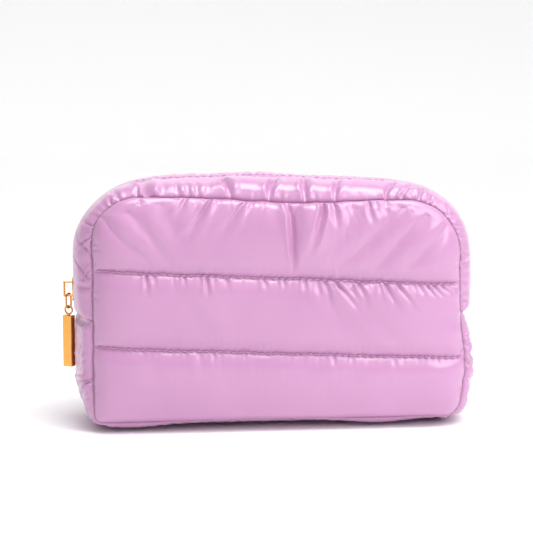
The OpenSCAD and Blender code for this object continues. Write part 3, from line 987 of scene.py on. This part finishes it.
def press_bar(points):
    """Presses the fabric in, in place, where the pull's bar hangs against it."""
    low, high = box_mm("pull_bar")
    middle, half = (low + high) / 2, (high - low) / 2
    beside = np.clip(np.abs(points[..., 1]) - high[1] - 1, 0, None)
    beyond = np.clip(np.abs(points[..., 2] - middle[2]) - half[2] - 1, 0, None)
    limit = high[0] + 0.35 - 0.05 * (beside ** 2 + beyond ** 2)
    points[..., 0] = np.maximum(points[..., 0], limit)


def base_gusset():
    """The gusset under the bag and up its two ends: flat where it stands, and drawn in towards its foot."""
    front = in_plane(hung(run_of(base_legs(-1), BASE_STEPS)), -SEAM_Y)
    back = in_plane(hung(run_of(base_legs(1), BASE_STEPS)), SEAM_Y)
    count = 60
    flat, share = sheet_between(front, back, count)
    along = lengths(front)[None].repeat(count, 0)
    across = (2 * share - 1) * SEAM_Y + 0 * along
    away = SEAM_Y - np.abs(across)
    height = base_height(flat, share, along, across)
    # both ends take the zip gusset's section at the cross seams
    on_left = flat[..., 0] < 0
    near = 1 - smooth(0, 6, np.minimum(along, along.max() - along))
    height = height * (1 - near) + end_profile(across) * near * np.where(on_left, 1, RIGHT_ZIP_V / ZIP_V)
    flat[..., 2] += near * np.where(on_left, 2, 1) * np.clip(away / (SEAM_Y - SLOT_Y), 0, 1)
    height = np.maximum(height, 0.1) * smooth(0, 0.9, away)
    out = normals(flat)
    out *= np.sign(((flat - [0, 0, 60.0]) * out)[..., [0, 2]].sum(-1).mean())
    out[:, 0], out[:, -1] = [-1, 0, 0], [1, 0, 0]
    outer = settled(flat + out * height[..., None], border(*height.shape), gather=0.03, steps=50, push=0.01,
                    seed=51, reach=1.6)
    outer[..., 2] = np.maximum(outer[..., 2], 0.0)
    press_bar(outer)
    inner = flat - out * 0.1
    inner[0], inner[-1] = outer[0], outer[-1]
    inner[:, 0], inner[:, -1] = outer[:, 0], outer[:, -1]
    obj = pillow_mesh("base_gusset", outer, inner, FABRIC)
    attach(obj, "base")
    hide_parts("base_gusset_shell", "base_gusset_wadding")
    rows = np.unique(np.r_[0:count:4, count - 1])
    cols = np.unique(np.r_[0:flat.shape[1]:3, flat.shape[1] - 1])
    lining = gusset_lining("base_lining", flat, out, noise(along, across, 15, 99), rows, cols)
    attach(lining, "base")
    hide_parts("base_gusset_lining")


base_gusset()

# ---- Binding over the seams inside ----


def binding(side):
    """A folded tape that covers the seam allowance all round the panel, inside the bag."""
    top = run_of(top_legs(side), STRIP_STEPS)
    foot = run_of(base_legs(side), BASE_STEPS)[::-1]
    path = hung(np.concatenate([top, foot[1:-1]]))
    forward = unit(np.roll(path, -1, 0) - np.roll(path, 1, 0))
    inward = np.stack([forward[:, 1], -forward[:, 0]], 1)
    sides, count = 12, len(path)
    ripple = 0.12 * noise(path[:, 0], path[:, 1], 9, 77 + side)
    verts = []
    for k in range(count):
        for s in range(sides):
            angle = 2 * math.pi * s / sides
            u = 2.6 + 2.2 * squared(math.cos(angle), 0.6)
            v = 1.75 + 0.8 * squared(math.sin(angle), 0.6) + ripple[k]
            x, z = path[k] + inward[k] * u
            verts.append((x, side * (SEAM_Y - v), z))
    faces = []
    for k in range(count):
        here, ahead = k * sides, (k + 1) % count * sides
        for s in range(sides):
            beside = (s + 1) % sides
            quad = (here + s, here + beside, ahead + beside, ahead + s)
            faces.append(quad if side < 0 else quad[::-1])
    word = WORD[side]
    obj = finish_mesh(word + "_binding", verts, faces, BINDING)
    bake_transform(obj)
    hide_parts(word + "_binding_lower", word + "_binding_upper")
    stitched = in_plane(path + inward * 4.0, side * (SEAM_Y - 2.6))
    stitching(word + "_binding_stitching", [stitched[::2]], np.array([0, -side, 0.0]), 0.18)


binding(-1)
binding(1)

# ---- Metal ----


def end_stop():
    """The crimped metal stop that joins the two coils at the right end of the zip."""
    low, high = box_mm("zip_bottom_stop")
    centre = (low + high) / 2
    half = (high - low) / 2
    centre[0] = ZIP_LINE[-1, 0] + half[0] + 0.1
    verts = []
    rings, around = 9, 20
    for i in range(rings):
        latitude = math.pi * i / (rings - 1) - math.pi / 2
        for k in range(around):
            longitude = 2 * math.pi * k / around
            ring = math.cos(latitude)
            ray = [ring * math.cos(longitude), math.sin(latitude), ring * math.sin(longitude)]
            verts.append([centre[j] + half[j] * squared(ray[j], 0.45) for j in range(3)])
    faces = tube_faces(rings, around, 0)
    obj = finish_mesh("zip_end_stop", verts, faces, GOLD)
    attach(obj, "base")
    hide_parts("zip_bottom_stop")


end_stop()

SLOT_LOOKS = {"lining": LINING, "binding": BINDING, "zip_tape": TAPE, "zip_coil": COIL, "hardware": GOLD}
ROUNDING, STOP_ROUNDING = 0.0003, 0.00018
for part in frame["record"]["subparts"]:
    cad_node = frame["nodes"][part["node"]]
    cad_node.data.materials.clear()
    cad_node.data.materials.append(SLOT_LOOKS.get(part["material_slot"], FABRIC))
    if part["material_slot"] == "hardware":
        edges = cad_node.modifiers.new("rounded_edges", "BEVEL")
        edges.width = STOP_ROUNDING if "stop" in part["node"] else ROUNDING
        edges.segments = 3
        edges.limit_method = "ANGLE"
        edges.angle_limit = math.radians(40)

# ---- Stage, light and camera ----


def floor():
    """A sheet of paper that curves up behind the bag."""
    size, behind, radius, steps = 6.0, 1.6, 0.6, 16
    profile = [(-size, 0.0)]
    for k in range(steps + 1):
        angle = math.pi / 2 * k / steps
        profile.append((behind + radius * math.sin(angle), radius * (1 - math.cos(angle))))
    profile.append((behind + radius, size))
    verts = [(x / MM, y / MM, z / MM) for y, z in profile for x in (-size, size)]
    faces = [(2 * k, 2 * k + 1, 2 * k + 3, 2 * k + 2) for k in range(len(profile) - 1)]
    finish_mesh("studio_floor", verts, faces, paper())


def aim(obj, at):
    obj.rotation_euler = (Vector(at) - Vector(obj.location)).to_track_quat("-Z", "Y").to_euler()


def add_object(name, data, where, at):
    obj = bpy.data.objects.new(name, data)
    bpy.context.scene.collection.objects.link(obj)
    obj.location = where
    aim(obj, at)
    return obj


def softbox(name, where, at, size, power):
    data = bpy.data.lights.new(name, "AREA")
    data.shape = "RECTANGLE"
    data.size, data.size_y = size
    data.energy = power
    add_object(name, data, where, at)


def camera():
    """Looks from a little left of the front, slightly down. width is what the picture spans at the bag."""
    yaw, tilt = math.radians(5.5), math.radians(9)
    at = np.array([-0.0062, -0.020, 0.0939])
    lens, sensor, width = 135.0, 36.0, 0.3065
    data = bpy.data.cameras.new("camera")
    data.lens = lens
    data.clip_start = 0.05
    back = np.array([-math.sin(yaw) * math.cos(tilt), -math.cos(yaw) * math.cos(tilt), math.sin(tilt)])
    bpy.context.scene.camera = add_object("camera", data, at + back * width * lens / sensor, at)


def studio():
    """A white room: soft daylight, a broad sun from above, and four softboxes for the gloss."""
    world = bpy.data.worlds.new("studio")
    bpy.context.scene.world = world
    world.use_nodes = True
    light = world.node_tree.nodes["Background"]
    light.inputs["Color"].default_value = (1, 1, 1, 1)
    light.inputs["Strength"].default_value = 0.5
    sun = bpy.data.lights.new("sun", "SUN")
    sun.energy = 1.35
    sun.angle = math.radians(38)
    add_object("sun", sun, (0.35, -0.35, 1.3), (0, 0, 0))
    softbox("top_softbox", (0.0, -0.22, 0.85), (0, 0, 0.1), (0.7, 0.34), 3.0)
    softbox("back_softbox", (0.1, 0.62, 0.62), (0, 0, 0.12), (1.4, 0.6), 1.6)
    softbox("right_softbox", (0.36, -0.46, 0.36), (0.03, 0, 0.08), (0.28, 0.34), 1.2)
    softbox("upper_right_softbox", (0.55, -0.2, 0.5), (0, 0, 0.1), (0.3, 0.3), 0.8)
    bpy.context.scene.view_settings.view_transform = "Standard"


floor()
studio()
camera()
